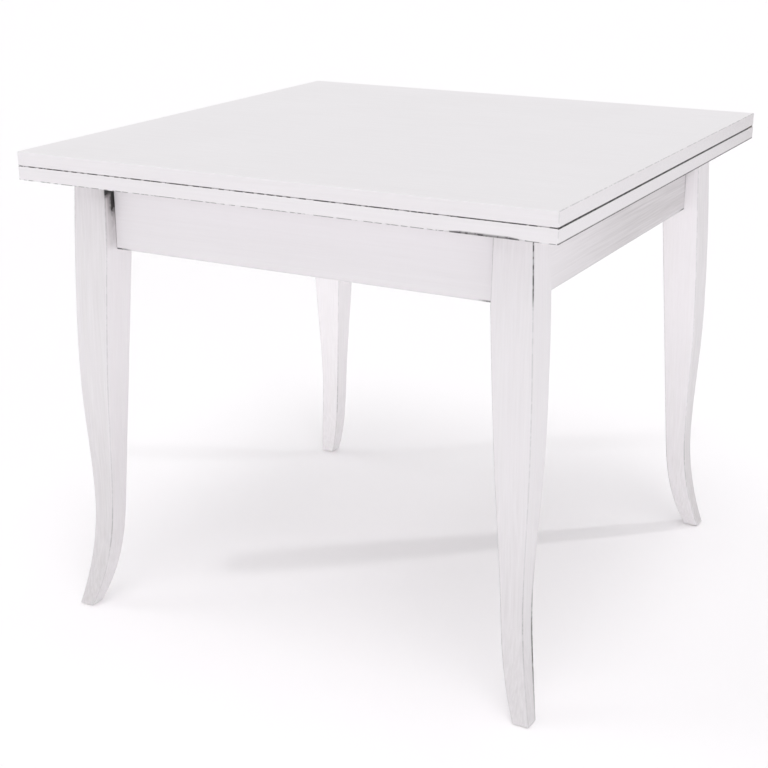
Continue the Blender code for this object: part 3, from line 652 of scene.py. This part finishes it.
zinc = plated_steel()
wing_screws = [-BRACKET_BEND - share * (BRACKET_END - BRACKET_BEND) for share in WING_SHARES]
wing_face = -BRACKET_WALL - BRACKET_SHEET / 2
screw_levels = (BRACKET_MIDDLE + WING_SCREW_RISE, BRACKET_MIDDLE - WING_SCREW_RISE)
bracket_screws = screws_at([(wing_face, p, z) for p, z in zip(wing_screws, screw_levels)], (-1, 0, 0))
bracket_screws += screws_at([(p, wing_face, z) for p, z in zip(wing_screws, screw_levels)], (0, -1, 0))
fixings = (("bent_bracket_", [bracket_shell()], ["corner_bracket_"]),
           ("bracket_screws_", bracket_screws, []),
           ("threaded_bolt_", [on_diagonal(bolt_shell(), LEG_FLAT)], ["hanger_bolt_"]),
           ("flanged_nut_", [on_diagonal(nut_shell(), NUT_SEAT)], ["leg_nut_"]))
for corner in CORNERS:
    for name, shells, nodes in fixings:
        make_piece(name + corner, [to_corner(shell, corner) for shell in shells], zinc, "zinc_steel", "frame",
                   [node_name + corner for node_name in nodes])


# Glides under the top: a nylon strip along each side apron and two nylon buttons on the front and the back
# one. They are tacked to the top edges of the aprons and carry the lower leaf while it slides.
GLIDE_ARRIS = 0.0006
STRIP_END_SIDES = 9
STRIP_CORNER = 0.001


def strip_plan(node_name):
    """Plan of a strip with round ends: two half circles joined by straight sides."""
    low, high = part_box(node_name)
    radius = (high.x - low.x) / 2
    angle = np.linspace(0, np.pi, STRIP_END_SIDES)
    end = np.stack([radius * np.cos(angle), high.y - radius + radius * np.sin(angle)], axis=1)
    return np.concatenate([end, -end]) + np.array([(low.x + high.x) / 2, 0])


for side in ("left", "right"):
    strip_low, strip_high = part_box("glide_strip_" + side)
    plan = strip_plan("glide_strip_" + side)
    strip = milled(plan, STRIP_CORNER, "z", strip_low.z, strip_high.z, GLIDE_ARRIS)
    make_piece("slide_strip_" + side, [strip], nylon, "nylon", "frame", ["glide_strip_" + side])
    for end in ("front", "back"):
        pad_low, pad_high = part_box(f"glide_pad_{end}_{side}")
        rim = round_rim((pad_high.x - pad_low.x) / 2, pad_low.z, pad_high.z, GLIDE_ARRIS)
        middle = np.array([(pad_low.x + pad_high.x) / 2, (pad_low.y + pad_high.y) / 2, 0])
        button = turned(rim, DISC_SIDES) + middle
        make_piece(f"slide_button_{end}_{side}", [button], nylon, "nylon", "frame", [f"glide_pad_{end}_{side}"])


# Guide rails: beech battens inside the side aprons, ploughed with a groove for the runner's tongue and left
# bare but for wax. Three countersunk screws below the groove hold each one to its apron.
RAIL_EASE = 0.0008
GROOVE_DEPTH = 0.012
GROOVE_RISE = 0.012
GROOVE_HIGH = 0.010
RAIL_SCREWS = (-0.27, 0.0, 0.27)
RAIL_SCREW_RISE = 0.006
FLUSH_DOME = 0.00012
FLUSH_RADIUS = 0.0036


def waxed_beech():
    """Planed beech along Y: pinkish tan with soft growth bands, short dark flecks and a thin coat of wax."""
    material, tree, shader = new_finish("waxed_beech")
    bands = grain(tree, (110.0, 5.0, 110.0), 4.0)
    flecks = ramp(tree, grain(tree, (1100.0, 160.0, 1100.0), 2.0), 0.60, 0.70)
    wood = mixed(tree, bands, (0.56, 0.375, 0.225, 1), (0.40, 0.250, 0.140, 1))
    wood = mixed(tree, sums(tree, "MULTIPLY", flecks, 0.55), wood, (0.25, 0.140, 0.075, 1))
    relief = sums(tree, "MULTIPLY_ADD", flecks, -0.5, bands)
    dress(tree, shader, wood, ramp(tree, bands, 0.3, 0.7, 0.44, 0.60), 0.25, 0.00015, relief)
    return material


beech = waxed_beech()
for side, sign in (("left", -1), ("right", 1)):
    rail_low, rail_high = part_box("guide_rail_" + side)
    inner, outer = (rail_low.x, rail_high.x) if sign > 0 else (rail_high.x, rail_low.x)
    groove = inner + sign * GROOVE_DEPTH
    sill = rail_low.z + GROOVE_RISE
    lintel = sill + GROOVE_HIGH
    rail_section = [(rail_low.z, inner), (rail_low.z, outer), (rail_high.z, outer), (rail_high.z, inner),
                    (lintel, inner), (lintel, groove), (sill, groove), (sill, inner)]
    rail = milled(rail_section, SMALL_EASE, "y", rail_low.y, rail_high.y, RAIL_EASE)
    make_piece("grooved_rail_" + side, [rail], beech, "beech", "frame", ["guide_rail_" + side])
    places = [(inner, y, rail_low.z + RAIL_SCREW_RISE) for y in RAIL_SCREWS]
    make_piece("rail_screws_" + side, screws_at(places, (-sign, 0, 0), FLUSH_RADIUS, FLUSH_DOME), zinc,
               "zinc_steel", "frame", [])


# Stop buffers: black rubber blocks glued inside the front and back aprons, in line with the runners. They
# are moulded with soft edges, and end the slide without a knock.
BUFFER_EASE = 0.0009


def moulded_rubber():
    """Black rubber with a dusty bloom and a fine moulded grain."""
    material, tree, shader = new_finish("black_rubber")
    bloom = grain(tree, (140.0, 140.0, 140.0), 4.0)
    fine = grain(tree, (2600.0, 2600.0, 2600.0), 2.0)
    tint = mixed(tree, bloom, (0.020, 0.020, 0.021, 1), (0.060, 0.059, 0.057, 1))
    dress(tree, shader, tint, ramp(tree, bloom, 0.3, 0.7, 0.70, 0.88), 0.3, 0.0001, fine)
    return material


rubber = moulded_rubber()
for end in ("front", "back"):
    for side in ("left", "right"):
        low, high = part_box(f"stop_buffer_{end}_{side}")
        block_section = [(low.z, low.x), (high.z, low.x), (high.z, high.x), (low.z, high.x)]
        block = milled(block_section, BUFFER_EASE, "y", low.y, high.y, BUFFER_EASE)
        make_piece(f"rubber_stop_{end}_{side}", [block], rubber, "rubber", "frame",
                   [f"stop_buffer_{end}_{side}"])


# Leaves: two equal boards, white on both faces because either may end up as the table's top. Their arrises
# are eased, and the back edge of each has a shallow rebate for the hinge and a cove that clears its knuckles.
# Glaze and painted shade darken the arrises that meet at the seam, a painted shadow darkens the lowest
# arris, broadly by the front right leg, and the sawn ends are darker towards the back.
LEAF_ARRIS = 0.0014
LEAF_END_EASE = 0.0012
COVE_POINTS = 7
HINGE_WING = 0.030
HINGE_SHEET = 0.0012
HINGE_HALF = 0.448
PIN_RADIUS = 0.0015
FIT = 0.0003
CURL_BORE = PIN_RADIUS + FIT
CURL_RADIUS = CURL_BORE + HINGE_SHEET
HALF_SEAM = 0.00025
LOWER_LEAST, LOWER_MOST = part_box("lower_leaf_board")
AXIS_Y = LOWER_MOST.y + 0.0005
AXIS_Z = LOWER_MOST.z + HALF_SEAM
LEAF_HALF = LOWER_MOST.x
LEAF_LOWEST = LOWER_LEAST.z
LEAF_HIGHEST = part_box("upper_leaf_board")[1].z
TOP_STREAK = 0.55
EDGE_SKIN = 0.0012, 0.0024, 1.0, 0.0
# Glaze and painted shade along the seam.
SEAM_GLAZE_AND_SHADE, SEAM_ON_END = HALF_SEAM + 0.0006, 0.0008
SEAM_FADE = 0.7, 1.2, 1.0, 0.0
# Painted shadow along the lowest arris, broad by the front right leg.
BY_RIGHT_LEG = 0.345
BROAD_REACH = 0.035, 0.065, 1.0, 0.0
BROAD_AT_FRONT = 0.0, 0.1, 1.0, 0.0
BROAD_SOLID = 0.85
LOWEST_SHADOW, LOWEST_ON_END, LOWEST_BROAD = 0.0018, 0.0012, 0.0028
LOWEST_FADE = 0.5, 1.0, 1.0, 0.0
TOP_TRACE = LEAF_HIGHEST - 0.0013, LEAF_HIGHEST - 0.0006, 0.0, 0.25
CORNER_TRACE = 0.0006, 0.0018, 0.15, 0.0
UNBROKEN = 0.9
# Leaf ends darker towards the back.
END_DARKENING, BACK_DARKENING = (-0.45, 0.45, 0.0, 0.16), (0.15, 0.45, 0.0, 0.10)
END_FACE_SKIN = 0.0004, 0.0012, 1.0, 0.0


def leaf_board(node_name, side):
    """A leaf's section across its depth, with rebate and cove, carried along its width. Side is -1 for the
    lower leaf, whose seam face looks up, and 1 for the upper one."""
    low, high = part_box(node_name)
    floor = HALF_SEAM + HINGE_SHEET + FIT
    cove = CURL_RADIUS + FIT
    angle = np.linspace(np.arcsin(floor / cove), np.arccos((AXIS_Y - high.y) / cove), COVE_POINTS)
    hollow = np.stack([AXIS_Y - cove * np.cos(angle), cove * np.sin(angle)], axis=1)
    wall = AXIS_Y - HINGE_WING - FIT
    thick = HALF_SEAM + high.z - low.z
    section = np.array([(low.y, HALF_SEAM), (wall, HALF_SEAM), (wall, floor), *hollow, (high.y, thick),
                        (low.y, thick)])
    radius = np.full(len(section), SMALL_EASE)
    radius[[0, -1, -2]] = LEAF_ARRIS
    placed = np.stack([section[:, 0], AXIS_Z + side * section[:, 1]], axis=1)
    return milled(placed, radius, "x", low.x, high.x, LEAF_END_EASE)


def leaf_lines(tree, dashes):
    """Glaze and painted shade on a leaf's outer edges, from its coordinates: a line of glaze and painted shade
    along the seam, solid and heavier on the sawn ends and in dashes elsewhere, a painted shadow along the
    lowest arris, broad by the front right leg, and a trace of glaze on the ends' top arris and on the upright
    corners."""
    axes = axes_of(tree)
    in_x, in_y = (sums(tree, "SUBTRACT", LEAF_HALF, sums(tree, "ABSOLUTE", axis)) for axis in axes[:2])
    on_edge = ramp(tree, sums(tree, "MINIMUM", in_x, in_y), *EDGE_SKIN)
    on_end = ramp(tree, in_x, *EDGE_SKIN)
    # Glaze and painted shade along the seam.
    from_seam = sums(tree, "ABSOLUTE", sums(tree, "SUBTRACT", axes[2], AXIS_Z))
    seam_width = sums(tree, "MULTIPLY_ADD", on_end, SEAM_ON_END, SEAM_GLAZE_AND_SHADE)
    seam = ramp(tree, sums(tree, "DIVIDE", from_seam, seam_width), *SEAM_FADE)
    from_leg = sums(tree, "ABSOLUTE", sums(tree, "SUBTRACT", axes[0], BY_RIGHT_LEG))
    broad = ramp(tree, from_leg, *BROAD_REACH)
    broad = sums(tree, "MULTIPLY", broad, ramp(tree, axes[1], *BROAD_AT_FRONT))
    solid = sums(tree, "MAXIMUM", on_end, sums(tree, "MULTIPLY", broad, BROAD_SOLID))
    # Painted shadow along the lowest arris.
    lowest_width = sums(tree, "MULTIPLY_ADD", on_end, LOWEST_ON_END, LOWEST_SHADOW)
    lowest_width = sums(tree, "MULTIPLY_ADD", broad, LOWEST_BROAD, lowest_width)
    rise = sums(tree, "SUBTRACT", axes[2], LEAF_LOWEST)
    lowest = ramp(tree, sums(tree, "DIVIDE", rise, lowest_width), *LOWEST_FADE)
    lowest = sums(tree, "MULTIPLY", lowest, ramp(tree, solid, 0.0, 1.0, 0.7, 1.0))
    top = ramp(tree, axes[2], *TOP_TRACE)
    corner = ramp(tree, sums(tree, "MAXIMUM", in_x, in_y), *CORNER_TRACE)
    traces = sums(tree, "MAXIMUM", sums(tree, "MULTIPLY", top, on_end), corner)
    traces = sums(tree, "MULTIPLY", traces, dashes)
    broken = sums(tree, "MAXIMUM", dashes, sums(tree, "MULTIPLY", solid, UNBROKEN))
    lines = sums(tree, "MULTIPLY", sums(tree, "MAXIMUM", seam, lowest), broken)
    return sums(tree, "MULTIPLY", on_edge, sums(tree, "MAXIMUM", lines, traces))


def leaf_wash(tree):
    """A leaf's sawn ends made darker: light at the front and deeper to the back."""
    axes = axes_of(tree)
    in_x = sums(tree, "SUBTRACT", LEAF_HALF, sums(tree, "ABSOLUTE", axes[0]))
    depth = sums(tree, "ADD", ramp(tree, axes[1], *END_DARKENING), ramp(tree, axes[1], *BACK_DARKENING))
    return sums(tree, "MULTIPLY", depth, ramp(tree, in_x, *END_FACE_SKIN))


lacquer_top = lacquer("white_lacquer_top", 0, TOP_STREAK, leaf_lines, leaf_wash)
for name, side in (("lower_leaf", -1), ("upper_leaf", 1)):
    make_piece(name + "_panel", [leaf_board(name + "_board", side)], lacquer_top, "white_lacquer", name,
               [name + "_board"])


# Runners: beech battens screwed up under the back half of the lower leaf, each with a tongue that runs in its
# rail's groove and holds the leaf down. Four countersunk screws go up through each one.
TONGUE_ROOT = 0.010
RUNNER_SCREWS = 4
RUNNER_SCREW_MARGIN = 0.035
RUNNER_FACE = 0.3262
TONGUE_PLAY = 0.0005
TONGUE_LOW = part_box("guide_rail_right")[0].z + GROOVE_RISE + TONGUE_PLAY
TONGUE_HIGH = TONGUE_LOW + GROOVE_HIGH - 2 * TONGUE_PLAY
TONGUE_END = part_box("guide_rail_right")[1].y - TONGUE_PLAY
for side, sign in (("left", -1), ("right", 1)):
    runner_low, runner_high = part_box("runner_" + side)
    inner, tip = (runner_low.x, runner_high.x) if sign > 0 else (runner_high.x, runner_low.x)
    face = sign * RUNNER_FACE
    body_section = [(runner_low.z, inner), (runner_low.z, face), (runner_high.z, face), (runner_high.z, inner)]
    root = face - sign * TONGUE_ROOT
    tongue_section = [(TONGUE_LOW, root), (TONGUE_LOW, tip), (TONGUE_HIGH, tip), (TONGUE_HIGH, root)]
    tongue_start = runner_low.y + runner_high.y - TONGUE_END
    batten = milled(body_section, RAIL_EASE, "y", runner_low.y, runner_high.y, RAIL_EASE)
    tongue = milled(tongue_section, RAIL_EASE, "y", tongue_start, TONGUE_END, RAIL_EASE)
    make_piece("tongued_runner_" + side, [batten, tongue], beech, "beech", "lower_leaf", ["runner_" + side])
    along = np.linspace(runner_low.y + RUNNER_SCREW_MARGIN, runner_high.y - RUNNER_SCREW_MARGIN, RUNNER_SCREWS)
    places = [((inner + face) / 2, y, runner_low.z) for y in along]
    make_piece("runner_screws_" + side, screws_at(places, (0, 0, -1), FLUSH_RADIUS, FLUSH_DOME), zinc,
               "zinc_steel", "lower_leaf", [])


# Piano hinge: two brass-plated steel strips let into the back edges of the leaves, their edges curled into
# alternate knuckles round one long pin. Flush screws hold each strip, and the knuckles sit in the seam.
KNUCKLES = 29
KNUCKLE_LENGTH = 2 * HINGE_HALF / KNUCKLES
CURL_STEPS = 22
CURL_SLIT = 0.0003
KNUCKLE_EASE = 0.0002
HINGE_SCREWS = 14
HINGE_SCREW_REACH = 0.425
HINGE_SCREW_ROWS = (0.0125, 0.0205)
HINGE_SCREW_RADIUS, HINGE_SCREW_DOME = 0.0029, 0.00008
PIN_EASE, PIN_SIDES = 0.0005, 20


def brass_plate():
    """Thin brass plate on drawn steel in a dark brown tone: lines along X from the rolls, duller in patches."""
    material, tree, shader = new_finish("brass_plate")
    rolled = grain(tree, (9.0, 1500.0, 1500.0), 3.0)
    patches = grain(tree, (45.0, 90.0, 90.0), 3.0)
    tint = mixed(tree, patches, (0.17, 0.125, 0.07, 1), (0.085, 0.06, 0.032, 1))
    dress(tree, shader, tint, ramp(tree, rolled, 0.3, 0.7, 0.24, 0.40), 0.12, 0.0001, rolled)
    shader.inputs["Metallic"].default_value = 1.0
    return material


def knuckle_section(side):
    """Section of a knuckle about the pin: a short neck of the strip, then its edge rolled round the bore until
    it nearly meets the strip again."""
    back = HALF_SEAM + HINGE_SHEET
    slit = CURL_SLIT - HALF_SEAM
    outside = np.linspace(np.pi + np.arcsin(back / CURL_RADIUS),
                          3 * np.pi - np.arcsin(slit / CURL_RADIUS), CURL_STEPS)
    inside = np.linspace(3 * np.pi - np.arcsin(slit / CURL_BORE),
                         np.pi + np.arcsin(HALF_SEAM / CURL_BORE), CURL_STEPS)
    neck = -CURL_RADIUS - 2 * FIT
    outline = np.concatenate([
        [(neck, -HALF_SEAM), (neck, -back)],
        CURL_RADIUS * np.stack([np.cos(outside), np.sin(outside)], axis=1),
        CURL_BORE * np.stack([np.cos(inside), np.sin(inside)], axis=1)])
    placed = np.stack([AXIS_Y + outline[:, 0], AXIS_Z - side * outline[:, 1]], axis=1)
    return placed if side < 0 else placed[::-1]


def knuckle_shells(side, first):
    """Every second knuckle along the pin: its section carried along X for one knuckle's length."""
    section = knuckle_section(side)
    start = -HINGE_HALF + KNUCKLE_LENGTH * np.arange(first, KNUCKLES, 2)
    low, high = FIT / 2, KNUCKLE_LENGTH - FIT / 2
    run = np.array([low, low + KNUCKLE_EASE, high - KNUCKLE_EASE, high])[:, None]
    return [np.stack(np.broadcast_arrays(x + run, *section.T), axis=-1) for x in start]


brass = brass_plate()
screw_x = np.linspace(-HINGE_SCREW_REACH, HINGE_SCREW_REACH, HINGE_SCREWS)
screw_y = AXIS_Y - np.resize(HINGE_SCREW_ROWS, HINGE_SCREWS)
for name, side, first, body in (("lower", -1, 0, "lower_leaf"), ("upper", 1, 1, "upper_leaf")):
    face, back = AXIS_Z + side * HALF_SEAM, AXIS_Z + side * (HALF_SEAM + HINGE_SHEET)
    wing_front, wing_back = AXIS_Y - HINGE_WING, AXIS_Y - CURL_RADIUS - FIT
    wing_section = [(wing_front, face), (wing_back, face), (wing_back, back), (wing_front, back)]
    wing = milled(wing_section, KNUCKLE_EASE, "x", -HINGE_HALF, HINGE_HALF, KNUCKLE_EASE)
    make_piece("hinge_strip_" + name, [wing] + knuckle_shells(side, first), brass, "brassed_steel", body,
               ["hinge_leaf_" + name])
    places = np.stack([screw_x, screw_y, np.full(HINGE_SCREWS, face)], axis=1)
    heads = screws_at(places, (0, 0, -side), HINGE_SCREW_RADIUS, HINGE_SCREW_DOME)
    make_piece("hinge_screws_" + name, heads, brass, "brassed_steel", body, [])

pin_rings = round_rim(PIN_RADIUS, -HINGE_HALF, HINGE_HALF, PIN_EASE)
pin = np.roll(turned(pin_rings, PIN_SIDES), 1, axis=-1) + np.array([0, AXIS_Y, AXIS_Z])
make_piece("hinge_rod", [pin], zinc, "zinc_steel", "lower_leaf", ["hinge_pin"])


# Studio: a wide white floor, even light all round, a broad soft lamp overhead that spares the floor and a weak
# one beside the camera. Three lamps give the floor alone its soft shade, three draw only the back legs' long
# shadows on it, and three light one leg each.
FLOOR_REACH = 40.0
FLOOR_WHITE = (0.965, 0.95, 0.965, 1)
FLOOR_ROUGH = 0.9
LAMP_AWAY = 5
SKY_LEVEL = 0.54
SOFT_LAMP = (-0.24, -0.10, 1.0), 1.20, 80
FRONT_LAMP = (0.68, -0.72, 0.12), 0.89, 25
LEG_LAMPS = {"back_right": ((0.20, -0.98, 0.02), 0.66, 25),
             "back_left": ((0.42, -0.905, 0.02), 1.28, 25),
             "front_left": ((1.0, 0.0, 0.02), 0.15, 25)}
FLOOR_LAMPS = {"high": ((0.04, 0.07, 1.0), 0.19, 23),
               "right": ((0.20, -0.34, 1.0), 0.57, 30),
               "left": ((-0.70, -0.21, 1.0), 0.24, 23)}
SHADOW_LAMPS = {"far": ("back_right", (0.77, 0.64, 0.90), 0.46, 2.5),
                "near": ("back_left", (0.90, 0.37, 1.6), 0.18, 3),
                "across": ("back_left", (-0.85, -0.67, 1.0), 0.17, 2.5)}


def look_along(direction, roll=0.0):
    """A turn that points an object's -Z along a direction, level with the floor but for a small roll."""
    back = -np.asarray(direction, float)
    back = back / np.linalg.norm(back)
    right = np.cross((0, 0, 1), back)
    right = right / np.linalg.norm(right)
    up = np.cross(back, right)
    side = np.cos(roll) * right + np.sin(roll) * up
    rise = np.cos(roll) * up - np.sin(roll) * right
    return np.stack([side, rise, back], axis=1)


def place_at(obj, spot, turn):
    """Put a lamp or camera at a spot with a turn."""
    matrix = np.eye(4)
    matrix[:3, :3] = turn
    matrix[:3, 3] = spot
    obj.matrix_world = Matrix(matrix.tolist())


floor_mesh = bpy.data.meshes.new("studio_floor")
floor_edge = FLOOR_REACH * np.array([(-1, -1, 0), (1, -1, 0), (1, 1, 0), (-1, 1, 0)])
floor_mesh.from_pydata(floor_edge.tolist(), [], [[0, 1, 2, 3]])
floor_finish, _, floor_shader = new_finish("matt_white_floor")
floor_shader.inputs["Base Color"].default_value = FLOOR_WHITE
floor_shader.inputs["Roughness"].default_value = FLOOR_ROUGH
floor_shader.inputs["Specular IOR Level"].default_value = 0.0
floor_mesh.materials.append(floor_finish)
floor = bpy.data.objects.new("studio_floor", floor_mesh)
bpy.context.scene.collection.objects.link(floor)

world = bpy.data.worlds.new("studio_light")
bpy.context.scene.world = world
world.use_nodes = True
sky = world.node_tree
rays = node(sky, "LightPath").outputs
shown = sums(sky, "MAXIMUM", rays["Is Camera Ray"], rays["Is Glossy Ray"])
sky.links.new(ramp(sky, shown, 0.0, 1.0, SKY_LEVEL, 1.0), sky.nodes["Background"].inputs["Strength"])
sky.nodes["Background"].inputs["Color"].default_value = (1, 1, 1, 1)


def far_lamp(name, direction, strength, spread):
    """A lamp so far off that its light comes from one direction, as wide as its spread in degrees."""
    direction = np.array(direction)
    data = bpy.data.lights.new(name, "SUN")
    data.energy = strength
    data.angle = np.radians(spread)
    lamp = bpy.data.objects.new(name, data)
    bpy.context.scene.collection.objects.link(lamp)
    place_at(lamp, LAMP_AWAY * direction, look_along(-direction))
    return lamp


def all_but(obj):
    """A list of everything but one object, for a lamp."""
    rest = bpy.data.collections.new("all_but_" + obj.name)
    rest.objects.link(obj)
    rest.collection_objects[0].light_linking.link_state = "EXCLUDE"
    return rest


soft_lamp = far_lamp("soft_top_lamp", *SOFT_LAMP)
soft_lamp.light_linking.receiver_collection = all_but(floor)
front_lamp = far_lamp("front_lamp", *FRONT_LAMP)
front_lamp.visible_glossy = False
front_lamp.light_linking.blocker_collection = all_but(bpy.data.objects["sabre_leg_front_right"])
lit_floor = bpy.data.collections.new("lit_floor")
lit_floor.objects.link(floor)
for name, aim in FLOOR_LAMPS.items():
    floor_lamp = far_lamp(name + "_floor_lamp", *aim)
    floor_lamp.light_linking.receiver_collection = lit_floor
only_leg = {}
for corner, aim in LEG_LAMPS.items():
    only_leg[corner] = bpy.data.collections.new("only_" + corner)
    only_leg[corner].objects.link(bpy.data.objects["sabre_leg_" + corner])
    leg_lamp = far_lamp("leg_lamp_" + corner, *aim)
    leg_lamp.visible_glossy = False
    leg_lamp.light_linking.receiver_collection = only_leg[corner]
for name, (corner, *aim) in SHADOW_LAMPS.items():
    shadow_lamp = far_lamp(name + "_shadow_lamp", *aim)
    shadow_lamp.light_linking.receiver_collection = lit_floor
    shadow_lamp.light_linking.blocker_collection = only_leg[corner]


# Camera: a short telephoto at about chest height, off the front right corner and turned down on to the table.
# It is level but for a trace of roll.
VIEW_LENS = 70.366
VIEW_SENSOR = 36.0
VIEW_END = 200.0
VIEW_AZIMUTH = np.radians(28.6875)
VIEW_RISE = np.radians(19.143)
VIEW_DISTANCE = 2.6582
VIEW_TARGET = np.array([-0.0513, 0.0, 0.3328])
VIEW_ROLL = np.radians(-0.1344)
camera_data = bpy.data.cameras.new("camera")
camera_data.sensor_width = VIEW_SENSOR
camera_data.lens = VIEW_LENS
camera_data.clip_end = VIEW_END
camera = bpy.data.objects.new("camera", camera_data)
bpy.context.scene.collection.objects.link(camera)
view_from = np.array([np.sin(VIEW_AZIMUTH) * np.cos(VIEW_RISE), -np.cos(VIEW_AZIMUTH) * np.cos(VIEW_RISE),
                      np.sin(VIEW_RISE)])
place_at(camera, VIEW_TARGET + VIEW_DISTANCE * view_from, look_along(-view_from, VIEW_ROLL))
bpy.context.scene.camera = camera
bpy.context.scene.view_settings.view_transform = "Standard"
